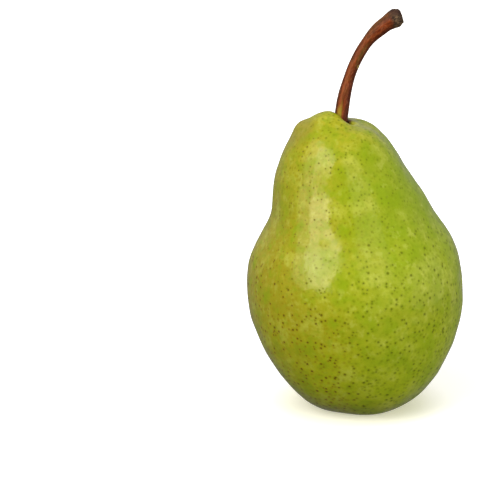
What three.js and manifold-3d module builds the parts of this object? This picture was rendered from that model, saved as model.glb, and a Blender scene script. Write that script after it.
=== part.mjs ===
// A whole green pear standing on its base: the fruit, its woody stem and the dried calyx in its foot.
// Millimetres, +Z up. The origin is the middle of the bounding box's bottom face, on the standing surface.
// The front faces -Y and the stem curves over towards +X. Angles round the fruit run from +X towards +Y.

import * as THREE from "three";
import { ImprovedNoise } from "three/addons/math/ImprovedNoise.js";
import { mergeVertices } from "three/addons/utils/BufferGeometryUtils.js";
import Module from "manifold-3d";

// Driving dimensions of the fruit
const FRUIT_HEIGHT = 97.4; // to the flat top beside the stem
const GIRTH_RADIUS = 36.7; // at the widest
const GIRTH_HEIGHT = 41.4;
const WAIST_RADIUS = 26.9;
const WAIST_HEIGHT = 69;
const WAIST_SLOPE = 19.5; // degrees of the side there, off upright
const TOP_RADIUS = 10.3; // of the flat top
const RIM_RADIUS = 11.5; // of the rim that the pear stands on
const RIM_PRESS = 0.55; // how far its own weight has pressed that rim flat
const BASIN_HEIGHT = 5.2; // of the hollow inside that rim
const PIT_TAPER = 0.8; // share of its radius that the calyx's pit keeps at its inner end
const SOCKET_LIP = { out: 0.6, depth: 1.6 }; // how the flat top rounds over into the stem's socket

// How far the outline keeps its direction on either side of each of its turning points
const PULL = {
  basin: 4,
  rim: { inward: 4, outward: 10.2 },
  girth: { down: 21.3, up: 13.9 },
  waist: { down: 7.6, up: 10.2 },
  top: { outward: 7.2, inward: 4.3 },
};

// Driving dimensions of the stem and the calyx
const STEM_RADIUS = 1.85; // half way along
const STEM_ROOT_RADIUS = 2.25;
const STEM_TIP_RADIUS = 3.2;
const STEM_RISE = 42.1; // of the middle of its tip over its root
const STEM_REACH = 20.1; // of the tip to the side
const STEM_BEND = { straight: 0.27, reach: 0.14, rise: 0.82, back: 0.8, front: 1 }; // shares, then millimetres
const STEM_SOCKET_DEPTH = 5.4;
const STEM_BEND_RADIUS = 95; // of its first stretch, which the socket follows
const STEM_OUTLINE = [ // shares of its length, and the radius there
  { along: 0, radius: STEM_ROOT_RADIUS },
  { along: 0.22, radius: STEM_ROOT_RADIUS },
  { along: 0.45, radius: STEM_RADIUS },
  { along: 0.68, radius: STEM_RADIUS },
  { along: 0.87, radius: 0.8 * STEM_TIP_RADIUS },
  { along: 0.975, radius: STEM_TIP_RADIUS },
  { along: 1, radius: 0.86 * STEM_TIP_RADIUS },
];
const STEM_HOLLOW = 0.6; // that its end dips by in the middle
const CALYX_RADIUS = 2.8; // of its cup
const CALYX_CUP_HEIGHT = 4;
const CUP_WALL = 0.9;
const CUP_FLOOR = 0.8;
const CUP_LIP = { height: 0.9, bevel: 0.2 }; // how far its mouth stands out of the pit
const SEPALS = 5;
const SEPAL_LENGTH = 4.4;
const SEPAL_WIDTH = 3.5; // where it leaves the cup
const SEPAL_THICKNESS = 0.7;
const SEPAL_TAPER = { share: 0.86, ease: 1.2 }; // of the width, lost by the tip
const SEPAL_CURL = 0.52; // of the length, that the tip turns down
const SEPAL_ARCH = 0.12; // across the blade
const SEPAL_ROOT = { inside: 1, drop: 0.75 }; // where it leaves the cup
const SEPAL_VARIETY = 0.15; // share that lengths and curls vary by, and radians that directions do
const GAP = 0.3; // between pieces that touch

// How finely each shape is divided
const FRUIT_SIDES = 72;
const FRUIT_STEPS = 11; // along each stretch of its outline
const STEM_SIDES = 20;
const STEM_STEPS = 44;
const CUP_SIDES = 30;
const SEPAL_STEPS = { along: 9, across: 6 };

// The fruit isn't quite round about one axis: the neck leans, the foot is a little off the middle, and the stem
// grows from beside the middle of the top. Each is a sideways shift, with the heights it fades over.
const NECK_LEAN = { shift: new THREE.Vector2(-5.4, 0.8), from: 58, to: 92 };
const FOOT_SHIFT = { shift: new THREE.Vector2(1.1, -0.4), from: 41, to: 0 };
const STEM_SHIFT = new THREE.Vector2(0.25, -0.3); // from the neck's middle, fading out over the flat top

// Swellings and, where the rise is negative, hollows. Each has its middle at an angle in degrees, a distance out
// from the fruit's own centre line and a height, and then its spread and its rise.
const SWELLINGS = [
  { angle: 218, out: 3.5, height: 97.4, spread: 4.8, rise: 5.6 }, // knob beside the stem
  { angle: -46, out: 3.6, height: 97, spread: 1.2, rise: -4.6 }, // cleft on the stem's other side
  { angle: 180, out: 12.5, height: 97, spread: 2.6, rise: 1.3 }, // down the left of the neck
  { angle: 180, out: 20, height: 87, spread: 4, rise: -0.4 },
  { angle: 180, out: 25, height: 77, spread: 5, rise: 0.5 },
  { angle: 180, out: 35, height: 50, spread: 5, rise: 0.4 },
  { angle: 0, out: 14, height: 96, spread: 4.5, rise: -1.6 }, // down the right of it
  { angle: 0, out: 22, height: 83.5, spread: 4, rise: -0.7 },
  { angle: 0, out: 26, height: 75, spread: 4, rise: 0.4 },
  { angle: 0, out: 31, height: 62, spread: 5, rise: 0.1 },
  { angle: 0, out: 36, height: 47, spread: 5, rise: -0.3 },
  { angle: 243, out: 33, height: 59, spread: 2.2, rise: -0.4 }, // dimple in the front
];
const UNEVENNESS = [
  { wavelength: 26, rise: 0.5 },
  { wavelength: 12, rise: 0.15 },
];
const FOOT_RIBS = { count: 5, rise: 0.25, out: 20, height: 3, spread: 9 };

const { MathUtils } = THREE;
const { smoothstep, degToRad } = MathUtils;
const wasm = await Module();
wasm.setup();
MathUtils.seededRandom(7);

// ---- Shaping tools ----

function reshape(geometry, move) {
  const places = geometry.getAttribute("position");
  const place = new THREE.Vector3();
  for (let i = 0; i < places.count; i++) {
    place.fromBufferAttribute(places, i);
    move(place);
    places.setXYZ(i, place.x, place.y, place.z);
  }
  return geometry;
}

// Joins the vertices that lie together and drops the triangles that this flattens.
function sealed(geometry) {
  const bare = new THREE.BufferGeometry();
  bare.setAttribute("position", geometry.getAttribute("position"));
  bare.setIndex(geometry.index);
  const joined = mergeVertices(bare);
  const corners = joined.index.array;
  const kept = [];
  for (let i = 0; i < corners.length; i += 3) {
    const [a, b, c] = corners.slice(i, i + 3);
    if (a !== b && b !== c && c !== a) kept.push(a, b, c);
  }
  joined.setIndex(kept);
  joined.computeVertexNormals();
  return joined;
}

function solid(geometry) {
  const joined = sealed(geometry);
  return new wasm.Manifold(
    new wasm.Mesh({
      numProp: 3,
      vertProperties: new Float32Array(joined.getAttribute("position").array),
      triVerts: new Uint32Array(joined.index.array),
    }),
  );
}

function fused(geometries) {
  const mesh = geometries.map(solid).reduce((whole, piece) => whole.add(piece)).getMesh();
  const geometry = new THREE.BufferGeometry();
  geometry.setAttribute("position", new THREE.BufferAttribute(mesh.vertProperties, 3));
  geometry.setIndex(new THREE.BufferAttribute(mesh.triVerts, 1));
  geometry.computeVertexNormals();
  return geometry;
}

// A closed turned body: the outline's x is its radius and its y is its height.
function turned(outline, sides) {
  return new THREE.LatheGeometry(outline, sides).rotateX(Math.PI / 2);
}

// ---- Fruit: flesh and skin, one solid ----

const PIT_RADIUS = CALYX_RADIUS + GAP;
const PIT_HEIGHT = BASIN_HEIGHT + CALYX_CUP_HEIGHT;
const SOCKET_RADIUS = STEM_ROOT_RADIUS + GAP;
const SOCKET_HEIGHT = FRUIT_HEIGHT - STEM_SOCKET_DEPTH;

function fruitOutline() {
  const up = new THREE.Vector2(-Math.sin(degToRad(WAIST_SLOPE)), Math.cos(degToRad(WAIST_SLOPE)));
  const waist = new THREE.Vector2(WAIST_RADIUS, WAIST_HEIGHT);
  const level = new THREE.Vector2(1, 0);
  const upright = new THREE.Vector2(0, 1);
  const rim = new THREE.Vector2(RIM_RADIUS, -RIM_PRESS);
  const girth = new THREE.Vector2(GIRTH_RADIUS, GIRTH_HEIGHT);
  const top = new THREE.Vector2(TOP_RADIUS, FRUIT_HEIGHT);
  const basin = new THREE.Vector2(PIT_RADIUS, BASIN_HEIGHT);
  const socket = new THREE.Vector2(SOCKET_RADIUS, FRUIT_HEIGHT - SOCKET_LIP.depth);
  const path = new THREE.Path();
  path.moveTo(0, PIT_HEIGHT);
  path.lineTo(PIT_RADIUS * PIT_TAPER, PIT_HEIGHT);
  path.lineTo(basin.x, basin.y);
  const curve = (start, startWay, startPull, end, endWay, endPull) => {
    const leaving = start.clone().addScaledVector(startWay, startPull);
    const arriving = end.clone().addScaledVector(endWay, endPull);
    path.bezierCurveTo(leaving.x, leaving.y, arriving.x, arriving.y, end.x, end.y);
  };
  curve(basin, level, PULL.basin, rim, level, -PULL.rim.inward);
  curve(rim, level, PULL.rim.outward, girth, upright, -PULL.girth.down);
  curve(girth, upright, PULL.girth.up, waist, up, -PULL.waist.down);
  curve(waist, up, PULL.waist.up, top, level, PULL.top.outward);
  const lip = new THREE.Vector2(SOCKET_LIP.out, SOCKET_LIP.depth);
  curve(top, level, -PULL.top.inward, socket, lip, 1);
  path.lineTo(SOCKET_RADIUS, SOCKET_HEIGHT);
  path.lineTo(0, SOCKET_HEIGHT);
  return path.getPoints(FRUIT_STEPS);
}

function shiftAt(height) {
  const neck = smoothstep(height, NECK_LEAN.from, NECK_LEAN.to);
  const foot = 1 - smoothstep(height, FOOT_SHIFT.to, FOOT_SHIFT.from);
  return new THREE.Vector2()
    .addScaledVector(NECK_LEAN.shift, neck)
    .addScaledVector(FOOT_SHIFT.shift, foot);
}

function middleOf({ angle, out, height }) {
  const shift = shiftAt(height);
  return new THREE.Vector3(
    shift.x + out * Math.cos(degToRad(angle)),
    shift.y + out * Math.sin(degToRad(angle)),
    height,
  );
}

const stemFoot = shiftAt(FRUIT_HEIGHT).add(STEM_SHIFT);
const calyxMiddle = shiftAt(0);
const swellingMiddles = SWELLINGS.map(middleOf);
const noise = new ImprovedNoise();

function riseAt(place, angle, out) {
  let rise = 0;
  SWELLINGS.forEach((swelling, k) => {
    const away = place.distanceToSquared(swellingMiddles[k]);
    rise += swelling.rise * Math.exp(-away / (2 * swelling.spread ** 2));
  });
  for (const { wavelength, rise: most } of UNEVENNESS)
    rise += most * noise.noise(place.x / wavelength, place.y / wavelength, place.z / wavelength);
  const away = (out - FOOT_RIBS.out) ** 2 + (place.z - FOOT_RIBS.height) ** 2;
  rise += FOOT_RIBS.rise * Math.cos(FOOT_RIBS.count * angle) * Math.exp(-away / (2 * FOOT_RIBS.spread ** 2));
  return rise;
}

function makeFruit() {
  const lowest = GIRTH_RADIUS; // the surface is pushed away from a line up the middle of the fruit
  const highest = FRUIT_HEIGHT - TOP_RADIUS;
  const shape = reshape(turned(fruitOutline(), FRUIT_SIDES), (place) => {
    const out = Math.hypot(place.x, place.y);
    const angle = Math.atan2(place.y, place.x);
    const beyondHole = smoothstep(out, SOCKET_RADIUS, 3 * SOCKET_RADIUS);
    const push = new THREE.Vector3(place.x, place.y, place.z - MathUtils.clamp(place.z, lowest, highest));
    push.multiply(new THREE.Vector3(beyondHole, beyondHole, 1)).normalize();
    const besideStem = place.z > WAIST_HEIGHT ? 1 - smoothstep(out, SOCKET_RADIUS, TOP_RADIUS) : 0;
    const overSocket = smoothstep(place.z, SOCKET_HEIGHT, FRUIT_HEIGHT - 1);
    const share = Math.max(overSocket, smoothstep(out, PIT_RADIUS, 2 * PIT_RADIUS)); // holes stay true
    const shift = shiftAt(place.z).addScaledVector(STEM_SHIFT, besideStem);
    place.x += shift.x;
    place.y += shift.y;
    place.addScaledVector(push, riseAt(place, angle, out) * share);
    place.x += (besideStem * (place.z - SOCKET_HEIGHT) ** 2) / (2 * STEM_BEND_RADIUS);
    place.z = Math.max(place.z, 0);
  });
  return sealed(shape);
}

// ---- Stem: a turned stick, bent along a curve ----

function makeStem() {
  const route = new THREE.CubicBezierCurve3(
    new THREE.Vector3(0, 0, 0),
    new THREE.Vector3(0, 0, STEM_BEND.straight * STEM_RISE),
    new THREE.Vector3(STEM_BEND.reach * STEM_REACH, STEM_BEND.back, STEM_BEND.rise * STEM_RISE),
    new THREE.Vector3(STEM_REACH, -STEM_BEND.front, STEM_RISE),
  );
  const length = route.getLength();
  const outline = STEM_OUTLINE.map(({ along, radius }) => new THREE.Vector2(radius, along * length));
  const side = new THREE.SplineCurve(outline).getPoints(STEM_STEPS);
  const hollow = new THREE.Vector2(0, length - STEM_HOLLOW);
  const stick = turned([new THREE.Vector2(0, 0), ...side, hollow], STEM_SIDES);
  const across = new THREE.Vector3(0, 1, 0);
  const bent = reshape(stick, (place) => {
    const share = MathUtils.clamp(place.z / length, 0, 1);
    const along = route.getTangentAt(share);
    const sideways = new THREE.Vector3().crossVectors(across, along).normalize();
    const spot = route.getPointAt(share);
    spot.addScaledVector(sideways, place.x);
    spot.addScaledVector(new THREE.Vector3().crossVectors(along, sideways), place.y);
    place.copy(spot);
  });
  return sealed(bent);
}

// ---- Calyx: a dried cup sunk in the pit, with its sepals spread over the basin ----

function varied() {
  return 1 + SEPAL_VARIETY * (2 * MathUtils.seededRandom() - 1);
}

function makeSepal(turn) {
  const length = SEPAL_LENGTH * varied();
  const curl = SEPAL_CURL * length * varied();
  const { along, across } = SEPAL_STEPS;
  const blade = new THREE.BoxGeometry(length, SEPAL_WIDTH, SEPAL_THICKNESS, along, across, 1);
  reshape(blade, (place) => {
    const share = MathUtils.clamp(place.x / length + 0.5, 0, 1);
    place.y *= 1 - SEPAL_TAPER.share * share ** SEPAL_TAPER.ease;
    place.z -= SEPAL_ARCH * place.y ** 2 + curl * share ** 2;
    place.x += CALYX_RADIUS - SEPAL_ROOT.inside + length / 2;
  });
  return blade.rotateZ(turn + varied() - 1);
}

function makeCalyx() {
  const inside = CALYX_RADIUS - CUP_WALL;
  const innerEnd = CALYX_CUP_HEIGHT - GAP;
  const cup = turned(
    [
      new THREE.Vector2(0, innerEnd - CUP_FLOOR),
      new THREE.Vector2(inside * PIT_TAPER, innerEnd - CUP_FLOOR),
      new THREE.Vector2(inside, -CUP_LIP.height),
      new THREE.Vector2(CALYX_RADIUS - CUP_LIP.bevel, -CUP_LIP.height),
      new THREE.Vector2(CALYX_RADIUS, -GAP),
      new THREE.Vector2(CALYX_RADIUS * PIT_TAPER - GAP / 3, innerEnd),
      new THREE.Vector2(0, innerEnd),
    ],
    CUP_SIDES,
  );
  const sepals = [];
  for (let i = 1; i <= SEPALS; i++) {
    const sepal = makeSepal((2 * Math.PI * i) / SEPALS);
    sepals.push(sepal.translate(0, 0, -SEPAL_ROOT.drop));
  }
  return fused([cup, ...sepals]);
}

// ---- The pear ----

const skin = new THREE.MeshStandardMaterial({ color: 0x9aa83a, roughness: 0.4, metalness: 0 });
const bark = new THREE.MeshStandardMaterial({ color: 0x8a4a28, roughness: 0.6, metalness: 0 });
const dried = new THREE.MeshStandardMaterial({ color: 0x4a3322, roughness: 0.85, metalness: 0 });

const pear = new THREE.Group();

function add(name, geometry, material, x, y, z) {
  const mesh = new THREE.Mesh(geometry, material);
  mesh.name = name;
  mesh.position.set(x, y, z);
  pear.add(mesh);
}

add("fruit", makeFruit(), skin, 0, 0, 0);
add("stem", makeStem(), bark, stemFoot.x, stemFoot.y, SOCKET_HEIGHT + GAP);
add("calyx", makeCalyx(), dried, calyxMiddle.x, calyxMiddle.y, BASIN_HEIGHT);

const middle = new THREE.Box3().setFromObject(pear).getCenter(new THREE.Vector3());
pear.position.set(-middle.x, -middle.y, 0);

export default pear;
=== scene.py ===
import math
import random

import bmesh
import bpy
from mathutils import Matrix, Vector, noise


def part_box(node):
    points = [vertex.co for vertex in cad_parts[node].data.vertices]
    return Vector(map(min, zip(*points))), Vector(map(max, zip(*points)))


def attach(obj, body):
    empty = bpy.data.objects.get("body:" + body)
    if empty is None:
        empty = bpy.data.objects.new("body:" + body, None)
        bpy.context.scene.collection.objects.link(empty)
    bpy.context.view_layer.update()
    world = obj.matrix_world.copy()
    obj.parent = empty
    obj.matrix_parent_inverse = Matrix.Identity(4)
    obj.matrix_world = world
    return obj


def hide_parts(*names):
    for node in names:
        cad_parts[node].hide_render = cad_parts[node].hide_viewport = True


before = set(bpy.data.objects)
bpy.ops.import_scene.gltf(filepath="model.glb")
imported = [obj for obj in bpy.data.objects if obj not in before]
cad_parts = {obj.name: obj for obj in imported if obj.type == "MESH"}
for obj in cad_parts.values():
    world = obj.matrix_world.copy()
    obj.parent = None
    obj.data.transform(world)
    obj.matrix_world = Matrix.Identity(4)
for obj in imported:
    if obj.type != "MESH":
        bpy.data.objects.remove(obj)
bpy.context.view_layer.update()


# ---- The fruit ----
# One piece of flesh in a thin waxy skin, grown as a whole: a full belly, a waist, a neck that leans to the
# left, a knob beside the stem and a hollow in the foot. The skin is yellow-olive on its sunny side and leaf
# green on the other, with corky breathing spots, and brown russet by the stem and in the foot's hollow.
# Painted shade darkens the pocket beside the stem, the left side of the knob, the very foot and some deeper
# green places on the front.

scene = bpy.context.scene
MM = 0.001

STEM_AXIS = (-5.1 * MM, 0.5 * MM)
CALYX_AXIS = (0.8 * MM, -0.4 * MM)

# The pocket beside the stem, brown with russet and painted shade, and the painted shade on the left side of
# the
# knob: middle and reach of each, in millimetres
STEM_POCKET = ((-2.3, 1.6, 98.2), 2.4)
KNOB_SHADE = ((-18.5, -4.5, 96.5), 9)

# Places where the wax is rubbed off, with how far each reaches, in millimetres
RUBBED = [((-9.6, -19.8, 83), 7), ((-9.9, -27.2, 63.9), 2.6)]

# Places where painted shade deepens the skin's green, to dim the lights' reflections there, with how far
# each reaches, in millimetres
SHADE_GREEN_PLACES = [
    ((-0.6, -21.9, 79.4), 6.5),
    ((-4.1, -20.1, 86), 4),
    ((-4.1, -26.6, 67.7), 3.5),
    ((-4.1, -34.8, 52), 3.5),
    ((-12.5, -30, 57.5), 8),
    ((12.3, -18.9, 75.5), 6),
    ((4.5, -27.5, 68), 11),
    ((5.5, -16.5, 92), 8),
]

# Swellings and, where the rise is negative, dents in the front: the middle across and up, how far it
# spreads each way, and its rise, in millimetres
KNOCKS = [
    (-3, 88.5, 6, 3.2, 0.55),
    (-3, 79, 6.5, 3.5, -0.55),
    (-9.8, 63.5, 2, 2, -0.25),
    (-13.8, 65.4, 2, 2, 0.2),
]
KNOCKS_FADE = 8 * MM  # they reach their full rise this far in front of the fruit's middle

# Unevenness of the skin: each rise in millimetres, with how quickly it changes for each metre
WAVES = [(0.16, 75), (0.13, 190), (0.03, 500)]

# The skin keeps its place up to this far from the stem's middle, and on the very foot. From there it eases
# free over the same distance
HELD = 4 * MM


def tint(*shown):
    """A paint colour, from how its red, green and blue look on a 0 to 255 scale."""
    shares = [value / 255 for value in shown]
    return tuple(c / 12.92 if c < 0.04045 else ((c + 0.055) / 1.055) ** 2.4 for c in shares) + (1,)


SUNNY_OLIVE, LEAF_GREEN = tint(162, 152, 26), tint(156, 170, 34)
FOOT_GREEN, FOOT_SHADE_OLIVE = tint(178, 194, 10), tint(128, 118, 30)
TOP_YELLOW, KNOB_SHADE_OLIVE = tint(178, 165, 38), tint(140, 126, 44)
DEEP_PATCH, PALE_PATCH = tint(138, 162, 16), tint(190, 196, 74)
DEEP_FLECK, PALE_FLECK = tint(134, 156, 14), tint(190, 195, 84)
SHADY_GREEN, SHADE_DEEP_GREEN = tint(134, 158, 26), tint(136, 158, 10)
WARM_BLUSH, DULL_GREEN = tint(172, 144, 40), tint(120, 132, 20)
GREEN_HALO, SUNNY_HALO = tint(120, 134, 4), tint(156, 130, 12)
GREEN_CORK, SUNNY_CORK = tint(78, 82, 0), tint(88, 58, 0)
STEM_RUSSET, POCKET_RUSSET_SHADE, FOOT_RUSSET = tint(92, 58, 26), tint(88, 52, 22), tint(112, 96, 30)


class Wire:
    """One output of a shader node. Arithmetic on it adds Math nodes to the same material."""

    def __init__(self, socket):
        self.socket = socket

    def __getitem__(self, name):
        return Wire(self.socket.node.outputs[name])

    def math(self, operation, *others):
        return Paint.of(self).node("Math", {"operation": operation}, dict(enumerate((self,) + others)))

    def __add__(self, other):
        return self.math("ADD", other)

    def __sub__(self, other):
        return self.math("SUBTRACT", other)

    def __mul__(self, other):
        return self.math("MULTIPLY", other)

    def __rsub__(self, other):
        return self.math("MULTIPLY", -1).math("ADD", other)

    def __pow__(self, other):
        return self.math("POWER", other)

    __radd__ = __add__
    __rmul__ = __mul__

    def fade(self, start, end):
        """0 at start and 1 at end, easing in between."""
        return Paint.of(self).node(
            "MapRange",
            {"interpolation_type": "SMOOTHSTEP"},
            {"Value": self, "From Min": start, "From Max": end},
        )


class Paint:
    """A material, and the one way in which its nodes are added."""

    def __init__(self, name=None, tree=None):
        if tree is None:
            self.material = bpy.data.materials.new(name)
            self.material.use_nodes = True
            tree = self.material.node_tree
        self.tree = tree

    @staticmethod
    def of(wire):
        return Paint(tree=wire.socket.id_data)

    def node(self, kind, settings=None, sockets=None):
        made = self.tree.nodes.new("ShaderNode" + kind)
        for name, value in (settings or {}).items():
            setattr(made, name, value)
        for name, value in (sockets or {}).items():
            self.plug(made.inputs[name], value)
        return Wire(next(o for o in made.outputs if o.enabled))

    def plug(self, socket, value):
        if isinstance(value, Wire):
            self.tree.links.new(value.socket, socket)
        else:
            socket.default_value = value

    def mix(self, share, under, over):
        """The colour under, painted over with a share of the colour over."""
        return self.node("Mix", {"data_type": "RGBA"}, {0: share, 6: under, 7: over})

    def distance(self, place, middle):
        return self.node("VectorMath", {"operation": "DISTANCE"}, {0: place, 1: middle})

    def bump(self, height, depth, strength):
        return self.node("Bump", None, {"Strength": strength, "Distance": depth, "Height": height})

    def layers(self, share, under, over):
        """The material as two surfaces, with the share of the second one."""
        surfaces = [self.node("BsdfPrincipled", None, sockets) for sockets in (under, over)]
        mixed = self.node("MixShader", None, {0: share, 1: surfaces[0], 2: surfaces[1]})
        self.tree.nodes.remove(self.tree.nodes["Principled BSDF"])
        self.plug(self.tree.nodes["Material Output"].inputs["Surface"], mixed)
        return self.material

    def finish(self, **sockets):
        shader = self.tree.nodes["Principled BSDF"]
        for name, value in sockets.items():
            self.plug(shader.inputs[name.replace("_", " ")], value)
        return self.material


def clouds(paint, place, size, detail=2.0, roughness=0.5):
    """Soft noise from 0 to 1 whose patches are about size across."""
    return paint.node(
        "TexNoise", None, {"Vector": place, "Scale": 1 / size, "Detail": detail, "Roughness": roughness}
    )


def new_piece(name, mesh, material):
    piece = bpy.data.objects.new(name, mesh)
    scene.collection.objects.link(piece)
    mesh.materials.clear()
    mesh.materials.append(material)
    mesh.shade_smooth()
    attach(piece, "root")
    return piece


def finer(node, levels):
    """The node's own mesh with its triangles paired into quads and divided smoothly."""
    form = bmesh.new()
    form.from_mesh(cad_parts[node].data)
    bmesh.ops.remove_doubles(form, verts=form.verts, dist=0.0005 * MM)
    bmesh.ops.join_triangles(
        form, faces=form.faces, angle_face_threshold=math.pi, angle_shape_threshold=math.pi
    )
    mesh = bpy.data.meshes.new(node + "_coarse")
    form.to_mesh(mesh)
    form.free()
    holder = bpy.data.objects.new(node + "_coarse", mesh)
    scene.collection.objects.link(holder)
    rounder = holder.modifiers.new("Subdivision", "SUBSURF")
    rounder.levels = rounder.render_levels = levels
    bpy.context.view_layer.update()
    fine = bpy.data.meshes.new_from_object(holder.evaluated_get(bpy.context.evaluated_depsgraph_get()))
    bpy.data.objects.remove(holder)
    return fine


def fruit_skin():
    paint = Paint("pear_skin")
    place = paint.node("TexCoord")["Object"]
    apart = paint.node("SeparateXYZ", None, {"Vector": place})
    x, y, z = apart["X"], apart["Y"], apart["Z"]
    drift = clouds(paint, place, 26 * MM, 2)
    patches = clouds(paint, place, 7 * MM, 4, 0.6)
    mottle = clouds(paint, place, 3.2 * MM, 3, 0.6)
    flecks = clouds(paint, place, 1.6 * MM, 3, 0.7)

    def near(middle, reach):
        """1 in the middle of a place on the skin, fading to 0 at reach from it, both in millimetres."""
        return paint.distance(place, tuple(c * MM for c in middle)).fade(reach * MM, reach * 0.3 * MM)

    def from_upright(axis):
        """How far the skin is from an upright line."""
        return ((x - axis[0]) ** 2 + (y - axis[1]) ** 2) ** 0.5

    # Broad colour: from the sunny left to the green right, greener low down, painted shade in olive where
    # the pear stands and yellower at the top
    across = x * 26 + (z - 50 * MM) * 4 + (drift - 0.5) * 1.5
    colour = paint.mix(across.fade(-0.88, 0.78), SUNNY_OLIVE, LEAF_GREEN)
    low = (z + (drift - 0.5) * (30 * MM)).fade(45 * MM, 5 * MM)
    colour = paint.mix(low * 0.65, colour, FOOT_GREEN)
    # Painted shade: olive darkening on the very foot, where the pear stands
    colour = paint.mix(z.fade(13 * MM, 2 * MM) * 0.35, colour, FOOT_SHADE_OLIVE)
    high = (z - x * 0.25 + (drift - 0.5) * (20 * MM)).fade(82 * MM, 102 * MM)
    colour = paint.mix(high * 0.5, colour, TOP_YELLOW)

    # Blotches of deeper and paler skin, large and small
    colour = paint.mix(patches.fade(0.48, 0.66) * 0.6, colour, DEEP_PATCH)
    colour = paint.mix(patches.fade(0.5, 0.32) * 0.45, colour, PALE_PATCH)
    colour = paint.mix(mottle.fade(0.5, 0.66) * (0.5 - low * 0.3), colour, DEEP_FLECK)
    shady = (x + (patches - 0.5) * (20 * MM)).fade(0, 20 * MM) * z.fade(50 * MM, 85 * MM)
    colour = paint.mix(shady * 0.65, colour, SHADY_GREEN)
    pale_flecks = mottle.fade(0.46, 0.3) * (0.35 - low * 0.28 + shady * 0.15)
    colour = paint.mix(pale_flecks, colour, PALE_FLECK)
    # Painted shade: a deeper green at the listed places
    greener = sum(near(middle, reach) for middle, reach in SHADE_GREEN_PLACES)
    colour = paint.mix(greener * 0.55, colour, SHADE_DEEP_GREEN)
    # Painted shade on the left side of the knob
    colour = paint.mix(near(*KNOB_SHADE) * 0.5, colour, KNOB_SHADE_OLIVE)
    sunny = (1 - across.fade(-0.9, 0.4)) * (1 - low)
    warm = clouds(paint, place, 14 * MM, 3, 0.6).fade(0.52, 0.72) * sunny
    colour = paint.mix(warm * 0.32, colour, WARM_BLUSH)

    # Breathing spots: each a soft olive halo with a small darker corky middle, larger on the belly
    def breathing_spots(spacing, smallest, variety):
        """The middles and halos of spots whose sizes, from smallest up, are shares of the spacing."""
        spots = paint.node("TexVoronoi", None, {"Vector": place, "Scale": 1 / spacing})
        chance = paint.node("SeparateColor", None, {"Color": spots["Color"]})["Red"]
        edge = spots["Distance"] - (chance * variety + smallest)
        return edge.fade(0.05, -0.06), edge.fade(0.4, 0)

    belly = (z + (drift - 0.5) * (30 * MM) - x * 0.3).fade(75 * MM, 55 * MM)
    large_core, large_halo = breathing_spots(1.55 * MM, 0.05, 0.22)
    small_core, small_halo = breathing_spots(1.3 * MM, 0.05, 0.16)
    core = large_core * belly + small_core * (1 - belly)
    halo = large_halo * belly + small_halo * (1 - belly)
    red_side = 1 - across.fade(-0.8, 0.3)
    halo_colour = paint.mix(red_side, GREEN_HALO, SUNNY_HALO)
    core_colour = paint.mix(red_side, GREEN_CORK, SUNNY_CORK)
    colour = paint.mix(halo * (low * 0.15 + 0.5), colour, halo_colour)
    colour = paint.mix(core * (red_side * 0.2 + 0.64), colour, core_colour)
    colour = paint.mix(flecks.fade(0.45, 0.75) * 0.2, colour, DULL_GREEN)

    # Russet round the stem's socket and in the foot's hollow, and russet with painted shade in the pocket
    # beside the stem
    ragged = patches - 0.5
    russet = (from_upright(STEM_AXIS) + ragged * (2 * MM)).fade(4.5 * MM, 2.4 * MM)
    colour = paint.mix(russet * z.fade(60 * MM, 70 * MM), colour, STEM_RUSSET)
    colour = paint.mix(near(*STEM_POCKET), colour, POCKET_RUSSET_SHADE)
    basin = (from_upright(CALYX_AXIS) + ragged * (8 * MM)).fade(9.5 * MM, 3 * MM)
    colour = paint.mix(basin * z.fade(30 * MM, 20 * MM) * 0.8, colour, FOOT_RUSSET)

    # A thin wax shines over the skin, but not on the cork of the spots or where something has rubbed it off
    rubbed = sum(near(middle, reach) for middle, reach in RUBBED)
    gloss = clouds(paint, place, 9 * MM, 2).fade(0.35, 0.65)
    relief = flecks * 0.5 + clouds(paint, place, 2.4 * MM, 2) * 0.8 - core * 0.3
    flesh = {
        "Base Color": colour,
        "Normal": paint.bump(relief, 0.1 * MM, 1.0),
        "IOR": 1.5,
        "Subsurface Weight": 0.12,
        "Subsurface Radius": (1.0, 0.9, 0.25),
        "Subsurface Scale": 1.6 * MM,
    }
    wax = {"Roughness": 0.115 + gloss * 0.05 + ragged * 0.1, "Specular Tint": (1.0, 0.87, 0.66, 1)}
    bare = {"Roughness": 0.7, "Specular IOR Level": 0.08}
    blotched = patches.fade(0.46, 0.64) * 0.3 + mottle.fade(0.5, 0.62) * 0.15
    bare_share = core * 0.9 + rubbed * 0.55 + blotched
    return paint.layers(bare_share, {**flesh, **wax}, {**flesh, **bare})


def eased(value, start, end):
    """0 up to start and 1 from end on, in a straight line in between."""
    return min(1, max(0, (value - start) / (end - start)))


def fruit_mesh():
    mesh = finer("fruit", 2)
    spots = [v.co.copy() for v in mesh.vertices]
    outward = [n.vector.copy() for n in mesh.vertex_normals]
    moved = []
    for spot, out in zip(spots, outward):
        from_stem = math.hypot(spot.x - STEM_AXIS[0], spot.y - STEM_AXIS[1])
        free = eased(from_stem, HELD, 2 * HELD) * eased(spot.z, 0, HELD)
        front = eased(-spot.y, 0, KNOCKS_FADE)
        rise = sum(most * noise.noise(spot * pace) for most, pace in WAVES)
        for across, up, wide, tall, most in KNOCKS:
            gap = ((spot.x / MM - across) / wide) ** 2 + ((spot.z / MM - up) / tall) ** 2
            rise += most * front * math.exp(-gap / 2)
        moved.extend(spot + out * (rise * MM * free))
    mesh.vertices.foreach_set("co", moved)
    mesh.update()
    return mesh


fruit = new_piece("pear_fruit", fruit_mesh(), fruit_skin())
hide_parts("fruit")


# ---- The stem ----
# A woody stalk that bends over to the right and widens to the grey cork end where it came away from the
# twig. Its bark is smooth and red-brown, with fine ridges along it and green at the foot, and it stands in
# the fruit's socket. Painted light and shade lie on its bark: a highlight up the left of the front, shade
# along its right side and left edge, light on the upper side of the bend and shade on its foot down in the
# socket.

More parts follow.
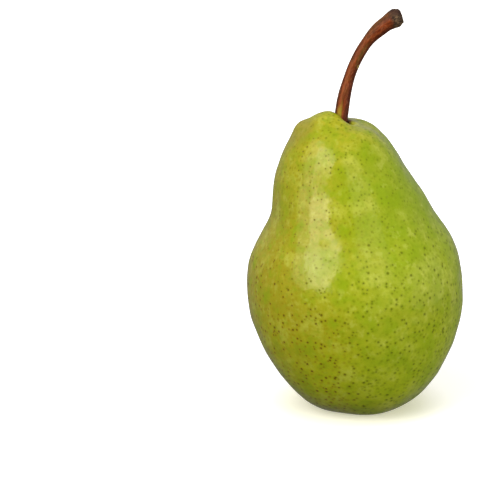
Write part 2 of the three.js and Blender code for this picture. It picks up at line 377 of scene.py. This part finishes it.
STEM_RISE = 42.1 * MM
STEM_REACH = 20.1 * MM
STEM_ROOT_RADIUS = 2.25 * MM
STEM_RADIUS = 1.85 * MM
STEM_TIP_RADIUS = 3.2 * MM
STEM_OUTLINE = [  # shares of its length, and the radius there
    (0, STEM_ROOT_RADIUS),
    (0.22, STEM_ROOT_RADIUS),
    (0.45, STEM_RADIUS),
    (0.68, STEM_RADIUS),
    (0.87, 0.8 * STEM_TIP_RADIUS),
    (0.97, STEM_TIP_RADIUS),
    (1, 0.8 * STEM_TIP_RADIUS),
]
STEM_SIDES = 64
STEM_STEPS = 260
BEND_STEPS = 2000  # along the bend, to measure its length
END_HOOPS = (0.85, 0.6, 0.3)  # sizes of the rings that close each end, as shares of the end's own
TIP_BULGE = 0.5 * MM

# Each kind of unevenness in the bark: its rise, and how quickly it changes across and along, for each metre
BARK_RIDGES = (0.07 * MM, 900, 60)
BARK_LUMPS = (0.08 * MM, 300, 150)
TIP_CHIPS = (6 * MM, 420, 420)
CHIPPED_FROM = 0.93  # share of its length where the chips begin, growing from nothing

# Places on the bark: to the right, to the back and along it
LEAF_SCAR = (1.5 * MM, -0.9 * MM, 26.2 * MM)
OLIVE_STREAK = (0.5 * MM, -1.8 * MM, 4.3 * MM)  # in the stretched grain
LONG_GRAIN, SHORT_GRAIN = (1, 1, 0.14), (1, 1, 0.4)

DARK_BARK, RED_BARK, OLIVE_BLOTCH = tint(88, 34, 10), tint(136, 60, 22), tint(106, 62, 20)
HIGHLIGHT_TAN, RIGHT_SHADE, LEFT_SHADE = tint(160, 88, 42), tint(64, 24, 12), tint(62, 28, 8)
STREAK_OLIVE, PALE_SPECK, DARK_SPECK = tint(92, 74, 26), tint(158, 92, 58), tint(66, 30, 12)
ROOT_GREEN, LIT_BEND_TAN, SCAR_TAN = tint(158, 140, 36), tint(132, 88, 44), tint(146, 122, 54)
DARK_CORK, GREY_CORK, CORK_EDGE = tint(48, 38, 30), tint(108, 84, 60), tint(48, 34, 26)
CORK_CORNER, SOCKET_SHADE = tint(62, 38, 32), tint(52, 28, 14)


def stem_bark():
    paint = Paint("stem_bark")
    grain = paint.node("Attribute", {"attribute_name": "grain"})["Vector"]
    place = paint.node("TexCoord")["Object"]
    apart = paint.node("SeparateXYZ", None, {"Vector": grain})
    side, back, along = apart["X"], apart["Y"], apart["Z"]
    long_grain = paint.node("Mapping", None, {"Vector": grain, "Scale": LONG_GRAIN})
    streaks = clouds(paint, long_grain, 0.9 * MM, 3, 0.6)
    blotches = clouds(paint, place, 1.8 * MM, 3, 0.6)
    short_grain = paint.node("Mapping", None, {"Vector": grain, "Scale": SHORT_GRAIN})
    specks = clouds(paint, short_grain, 0.55 * MM, 3, 0.7)
    colour = paint.mix(streaks.fade(0.35, 0.65), DARK_BARK, RED_BARK)
    colour = paint.mix(blotches.fade(0.5, 0.68) * 0.55, colour, OLIVE_BLOTCH)

    # A painted highlight runs up the left of the front, with painted shade on either side of it: a broad
    # band down the right and a thin edge on the left
    highlight_band = side.fade(-1.4 * MM, -0.9 * MM) * side.fade(0, -0.7 * MM)
    highlight_band = highlight_band * (1 - back.fade(-0.6 * MM, 0.4 * MM)) * along.fade(40 * MM, 26 * MM)
    colour = paint.mix(highlight_band * 0.45, colour, HIGHLIGHT_TAN)
    shade = (side + back * 0.25 + (streaks - 0.5) * MM).fade(-0.3 * MM, 1.1 * MM)
    colour = paint.mix(shade * 0.8, colour, RIGHT_SHADE)
    colour = paint.mix(side.fade(-1.3 * MM, -1.8 * MM) * 0.75, colour, LEFT_SHADE)
    olive = paint.distance(long_grain, OLIVE_STREAK).fade(0.9 * MM, 0.3 * MM)
    colour = paint.mix(olive * 0.6, colour, STREAK_OLIVE)
    colour = paint.mix(specks.fade(0.5, 0.68) * 0.5, colour, PALE_SPECK)
    colour = paint.mix(specks.fade(0.47, 0.3) * 0.5, colour, DARK_SPECK)

    # Green skin that ran a little way up the front, painted light on the upper side of the bend, and a leaf
    # scar
    green = (along + (streaks - 0.5) * (8 * MM)).fade(13.5 * MM, 8.5 * MM)
    green = green * side.fade(0.3 * MM, -0.5 * MM) * side.fade(-1.8 * MM, -1.4 * MM)
    colour = paint.mix(green * 0.9, colour, ROOT_GREEN)
    # Painted light: a lighter tan on the upper side of the bend
    lit_upper_side = (side * 1.2 + along * 0.16 + (blotches - 0.5) * (6 * MM)).fade(6.2 * MM, 3.5 * MM)
    colour = paint.mix(along.fade(30 * MM, 42 * MM) * lit_upper_side * 0.4, colour, LIT_BEND_TAN)
    scar = paint.distance(grain, LEAF_SCAR).fade(MM, 0.5 * MM)
    colour = paint.mix(scar, colour, SCAR_TAN)

    # Grey cork where the stem parted from the twig, dark at its rim, and painted shade on its foot down in
    # the socket
    cork = (along + (blotches - 0.5) * (5 * MM) + side * 0.3).fade(45 * MM, 47.5 * MM)
    colour = paint.mix(cork, colour, paint.mix(specks.fade(0.38, 0.6), DARK_CORK, GREY_CORK))
    colour = paint.mix(along.fade(48.5 * MM, 50 * MM) * 0.6, colour, CORK_EDGE)
    corner = (along - side * 0.8 + (blotches - 0.5) * (2 * MM)).fade(48.2 * MM, 49.6 * MM)
    colour = paint.mix(corner * side.fade(-0.6 * MM, -1.6 * MM) * 0.7, colour, CORK_CORNER)
    # Painted shade on the stem's foot, down in the fruit's socket
    colour = paint.mix(along.fade(7.2 * MM, 4.5 * MM) * 0.85, colour, SOCKET_SHADE)
    relief = streaks + blotches * 0.4 + specks * 0.5 + blotches * cork
    return paint.finish(
        Base_Color=colour,
        Roughness=0.5 + cork * 0.3,
        Normal=paint.bump(relief, 0.18 * MM, 0.8),
        Specular_IOR_Level=0.18,
    )


def stem_route():
    """Points at equal distances along the bend, each with its direction and the length run so far."""
    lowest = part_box("stem")[0].z
    foot = [v.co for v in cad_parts["stem"].data.vertices if v.co.z < lowest + 0.05 * MM]
    root = sum(foot, Vector()) / len(foot)
    handles = (
        root,
        root + Vector((0, 0, 0.27 * STEM_RISE)),
        root + Vector((0.14 * STEM_REACH, 0.8 * MM, 0.82 * STEM_RISE)),
        root + Vector((STEM_REACH, -1 * MM, STEM_RISE)),
    )

    def bend(t):
        a, b, c, d = handles
        u = 1 - t
        return u**3 * a + 3 * u * u * t * b + 3 * u * t * t * c + t**3 * d

    fine = [bend(i / BEND_STEPS) for i in range(BEND_STEPS + 1)]
    lengths = [0]
    for a, b in zip(fine, fine[1:]):
        lengths.append(lengths[-1] + (b - a).length)
    route, k = [], 0
    for i in range(STEM_STEPS + 1):
        run = lengths[-1] * i / STEM_STEPS
        while k < BEND_STEPS - 1 and lengths[k + 1] < run:
            k += 1
        share = (run - lengths[k]) / (lengths[k + 1] - lengths[k])
        route.append((fine[k].lerp(fine[k + 1], share), (fine[k + 1] - fine[k]).normalized(), run))
    return route


def stem_radius(share):
    for (a, start), (b, end) in zip(STEM_OUTLINE, STEM_OUTLINE[1:]):
        if share <= b:
            t = (share - a) / (b - a)
            return start + (end - start) * t * t * (3 - 2 * t)
    return STEM_OUTLINE[-1][1]


def uneven(flat, rise, across, along):
    """How far a kind of unevenness stands out, at a place on the bark laid flat."""
    return rise * noise.noise(Vector((flat.x * across, flat.y * across, flat.z * along)))


def join_rings(form, near_ring, far_ring):
    count = len(near_ring)
    for k in range(count):
        after = (k + 1) % count
        form.faces.new((near_ring[k], near_ring[after], far_ring[after], far_ring[k]))


def stem_mesh():
    form = bmesh.new()
    grain = form.verts.layers.float_vector.new("grain")
    rings = []
    route = stem_route()
    for i, (spot, ahead, run) in enumerate(route):
        share = i / STEM_STEPS
        out = Vector((0, 1, 0)).cross(ahead).normalized()
        front = ahead.cross(out)
        plain = stem_radius(share)
        ring = []
        for k in range(STEM_SIDES):
            turn = 2 * math.pi * k / STEM_SIDES
            way = out * math.cos(turn) + front * math.sin(turn)
            flat = Vector((math.cos(turn) * plain, math.sin(turn) * plain, run))
            radius = plain + uneven(flat, *BARK_RIDGES) + uneven(flat, *BARK_LUMPS)
            chip = max(0, share - CHIPPED_FROM) * uneven(flat, *TIP_CHIPS)
            vert = form.verts.new(spot + way * (radius + 0.5 * chip) + ahead * chip)
            vert[grain] = flat
            ring.append(vert)
        rings.append(ring)
    for near_ring, far_ring in zip(rings, rings[1:]):
        join_rings(form, near_ring, far_ring)
    for ring, (spot, ahead, run), bulge in ((rings[0], route[0], 0), (rings[-1], route[-1], TIP_BULGE)):
        inner = ring
        for share in END_HOOPS:
            hoop = []
            for vert in ring:
                fresh = form.verts.new(spot.lerp(vert.co, share) + ahead * bulge * (1 - share))
                fresh[grain] = vert[grain]
                hoop.append(fresh)
            join_rings(form, inner, hoop)
            inner = hoop
        middle = form.verts.new(spot + ahead * bulge)
        middle[grain] = Vector((0, 0, run))
        for k in range(STEM_SIDES):
            form.faces.new((inner[k], inner[(k + 1) % STEM_SIDES], middle))
    bmesh.ops.recalc_face_normals(form, faces=form.faces)
    mesh = bpy.data.meshes.new("pear_stem")
    form.to_mesh(mesh)
    form.free()
    return mesh


stem = new_piece("pear_stem", stem_mesh(), stem_bark())
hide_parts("stem")


# ---- The calyx ----
# What is left of the flower, dried to dark brown: a cup sunk in the foot's hollow, five sepals that spread
# from it and the withered threads inside. It is brittle and papery, and grew on the fruit.

THREADS = 22
THREAD_RADIUS = 0.14  # millimetres
THREAD_STEPS = 12
THREAD_SIDES = 8
THREAD_SPREAD = 2.4  # turn from each thread's root to the next one's, in radians
CUP_MOUTH_RADIUS = 1.7  # millimetres

# Where a thread starts and ends: its depth below the cup's inner end and its reach from the cup's middle. A
# pair is the least and the most. The tips' reach is a share of the mouth's radius, the rest are millimetres
ROOT_DEPTH = 0.6
ROOT_REACH = (0.2, 1.1)
TIP_DEPTH = (3.8, 5.4)
TIP_REACH = (0.4, 0.95)
MOST_BOW = 0.9  # to either side
KNOB_AT, KNOB_SPREAD = 0.93, 0.06  # of the swollen end of each thread, as shares of its length

DRY_BROWN, DRY_TAN, DRY_STRAW = tint(38, 24, 16), tint(104, 66, 38), tint(126, 104, 66)


def dried_calyx():
    paint = Paint("dried_calyx")
    place = paint.node("TexCoord")["Object"]
    fibres = clouds(paint, place, 0.5 * MM, 4, 0.7)
    patches = clouds(paint, place, 1.8 * MM, 2)
    colour = paint.mix(fibres.fade(0.3, 0.7), DRY_BROWN, DRY_TAN)
    colour = paint.mix(patches.fade(0.5, 0.8) * 0.6, colour, DRY_STRAW)
    return paint.finish(Base_Color=colour, Roughness=0.75, Normal=paint.bump(fibres, 0.15 * MM, 0.8))


def calyx_mesh():
    mesh = finer("calyx", 1)
    form = bmesh.new()
    form.from_mesh(mesh)
    inner_end = max(v.co.z for v in form.verts)
    ends = [v.co for v in form.verts if v.co.z > inner_end - 0.05 * MM]
    middle = sum(ends, Vector()) / len(ends)
    down = Vector((0, 0, -1))
    chance = random.Random(5)
    for i in range(THREADS):
        turn = THREAD_SPREAD * i
        out = Vector((math.cos(turn), math.sin(turn), 0))
        sideways = Vector((-out.y, out.x, 0))
        root = middle + (out * chance.uniform(*ROOT_REACH) + down * ROOT_DEPTH) * MM
        reach = CUP_MOUTH_RADIUS * chance.uniform(*TIP_REACH)
        tip = middle + (out * reach + down * chance.uniform(*TIP_DEPTH)) * MM
        bow = sideways * chance.uniform(-MOST_BOW, MOST_BOW) * MM
        rings = []
        for step in range(THREAD_STEPS + 1):
            share = step / THREAD_STEPS
            spot = root.lerp(tip, share) + bow * math.sin(math.pi * share * 1.2)
            knob = math.exp(-(((share - KNOB_AT) / KNOB_SPREAD) ** 2))
            thick = THREAD_RADIUS * MM * (1 - 0.3 * share + 0.8 * knob)
            ring = []
            for k in range(THREAD_SIDES):
                around = 2 * math.pi * k / THREAD_SIDES
                way = out * math.cos(around) + sideways * math.sin(around)
                ring.append(form.verts.new(spot + way * thick))
            rings.append(ring)
        for near_ring, far_ring in zip(rings, rings[1:]):
            join_rings(form, near_ring, far_ring)
        form.faces.new(rings[0])
        form.faces.new(rings[-1])
    bmesh.ops.recalc_face_normals(form, faces=form.faces)
    form.to_mesh(mesh)
    form.free()
    return mesh


calyx = new_piece("pear_calyx", calyx_mesh(), dried_calyx())
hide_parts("calyx")


# ---- The table, the lights and the camera ----
# A white table that runs on past the view, a tall window of soft light at the left and a weaker reflector
# at the right. The table glows white, with a painted shadow round the pear's foot. The camera looks a
# little down on the pear from nine tenths of a metre off, with the pear right of the middle of the view.

TABLE_HALF = 3.0  # metres
TABLE_CREAM = (0.86, 0.84, 0.8, 1)
# The table's glow is painted darker and yellower round the pear's foot: a painted shadow
NEAR_SHADE, FAR_SHADE, TABLE_WHITE = (0.52, 0.51, 0.38, 1), (0.66, 0.65, 0.62, 1), (1, 1, 1, 1)
table_paint = Paint("white_table")
from_middle = table_paint.distance(table_paint.node("TexCoord")["Object"], (0, 0, 0))
painted_foot_shadow = table_paint.mix(from_middle.fade(20 * MM, 36 * MM), NEAR_SHADE, FAR_SHADE)
table_paint.finish(
    Base_Color=TABLE_CREAM,
    Roughness=0.9,
    Specular_IOR_Level=0.1,
    Emission_Color=table_paint.mix(from_middle.fade(40 * MM, 140 * MM), painted_foot_shadow, TABLE_WHITE),
    Emission_Strength=0.8,
)
table_mesh = bpy.data.meshes.new("white_table")
corners = [(-1, -1), (1, -1), (1, 1), (-1, 1)]
table_mesh.from_pydata([(x * TABLE_HALF, y * TABLE_HALF, 0) for x, y in corners], [], [(0, 1, 2, 3)])
table_mesh.materials.append(table_paint.material)
table = bpy.data.objects.new("white_table", table_mesh)
scene.collection.objects.link(table)
table.visible_diffuse = False
table.visible_glossy = False
table.visible_shadow = False

# A dim white room, lighter beyond the pear and above it, and darker where the camera stands
world = bpy.data.worlds.new("studio")
world.use_nodes = True
room = Paint(tree=world.node_tree)
towards = room.node("SeparateXYZ", None, {"Vector": room.node("TexCoord")["Generated"]})
lighter_beyond = towards["Y"].fade(0.1, 0.8) * 0.75
darker_in_front = towards["Y"].fade(-0.5, -0.92) * 0.6
lighter_above = towards["Z"].fade(-0.6, 0.6) * 0.14
backdrop = world.node_tree.nodes["Background"]
room.plug(backdrop.inputs["Color"], (1, 1, 1, 1))
room.plug(backdrop.inputs["Strength"], (lighter_beyond - darker_in_front + 1) * (lighter_above + 0.1))
scene.world = world
scene.view_settings.view_transform = "Standard"

SUBJECT = Vector((0, 0, 50 * MM))
WINDOW_WHITE, SIDE_WHITE, PLAIN_WHITE = (1.0, 0.98, 0.9), (1.0, 0.98, 0.92), (1, 1, 1)


def soft_light(
    name, azimuth, elevation, distance, width, height, brightness, colour=PLAIN_WHITE, shines=True
):
    """A flat soft light that faces the pear, placed in degrees to the right of the front and above level.

    Its distance and size are in metres, and its brightness is that of its face, where a white wall in full
    light is 1. One that doesn't shine fills the shadows without a reflection of its own.
    """
    lamp = bpy.data.lights.new(name, "AREA")
    lamp.shape = "RECTANGLE"
    lamp.size, lamp.size_y = width, height
    lamp.energy = math.pi * width * height * brightness
    lamp.color = colour
    a, e = math.radians(azimuth), math.radians(elevation)
    way = Vector((math.sin(a) * math.cos(e), -math.cos(a) * math.cos(e), math.sin(e)))
    holder = bpy.data.objects.new(name, lamp)
    holder.location = SUBJECT + way * distance
    holder.rotation_euler = way.to_track_quat("Z", "Y").to_euler()
    holder.visible_glossy = shines
    scene.collection.objects.link(holder)


soft_light("window_light", -42.5, 33, 1.2, 0.62, 1.1, 5.0, WINDOW_WHITE)
soft_light("window_side", -68, 30, 1.2, 0.46, 1.0, 1.6, SIDE_WHITE)
soft_light("right_reflector", 27, 35, 1.3, 0.75, 0.9, 0.8)
soft_light("side_reflector", 84, 2, 1.3, 1.1, 0.9, 0.45)
soft_light("overhead_fill", 0, 62, 1.2, 1.0, 0.8, 1.35, shines=False)
soft_light("front_fill", 42, 4, 1.3, 1.3, 1.2, 2.25, shines=False)
soft_light("rear_fill", 175, 35, 1.3, 1.2, 1.0, 1.5, shines=False)

CAMERA_ELEVATION = math.radians(16)
CAMERA_DISTANCE = 0.9
PIXELS_PER_METRE = 2950
VIEW_HEIGHT = 500
LEFT_OF_PEAR, ABOVE_PEAR = 108.1, 11.5  # where the camera aims, in pixels of the view
camera_data = bpy.data.cameras.new("camera")
camera_data.lens = camera_data.sensor_width * PIXELS_PER_METRE * CAMERA_DISTANCE / VIEW_HEIGHT
camera_data.clip_end = 20
camera = bpy.data.objects.new("camera", camera_data)
backward = Vector((0, -math.cos(CAMERA_ELEVATION), math.sin(CAMERA_ELEVATION)))
upward = Vector((0, math.sin(CAMERA_ELEVATION), math.cos(CAMERA_ELEVATION)))
camera.location = SUBJECT + backward * CAMERA_DISTANCE
aim = SUBJECT + (Vector((-LEFT_OF_PEAR, 0, 0)) + upward * ABOVE_PEAR) / PIXELS_PER_METRE
ahead = (aim - camera.location).normalized()
rightward = ahead.cross(upward).normalized()
camera.rotation_euler = Matrix((rightward, rightward.cross(ahead), -ahead)).transposed().to_euler()
scene.collection.objects.link(camera)
scene.camera = camera
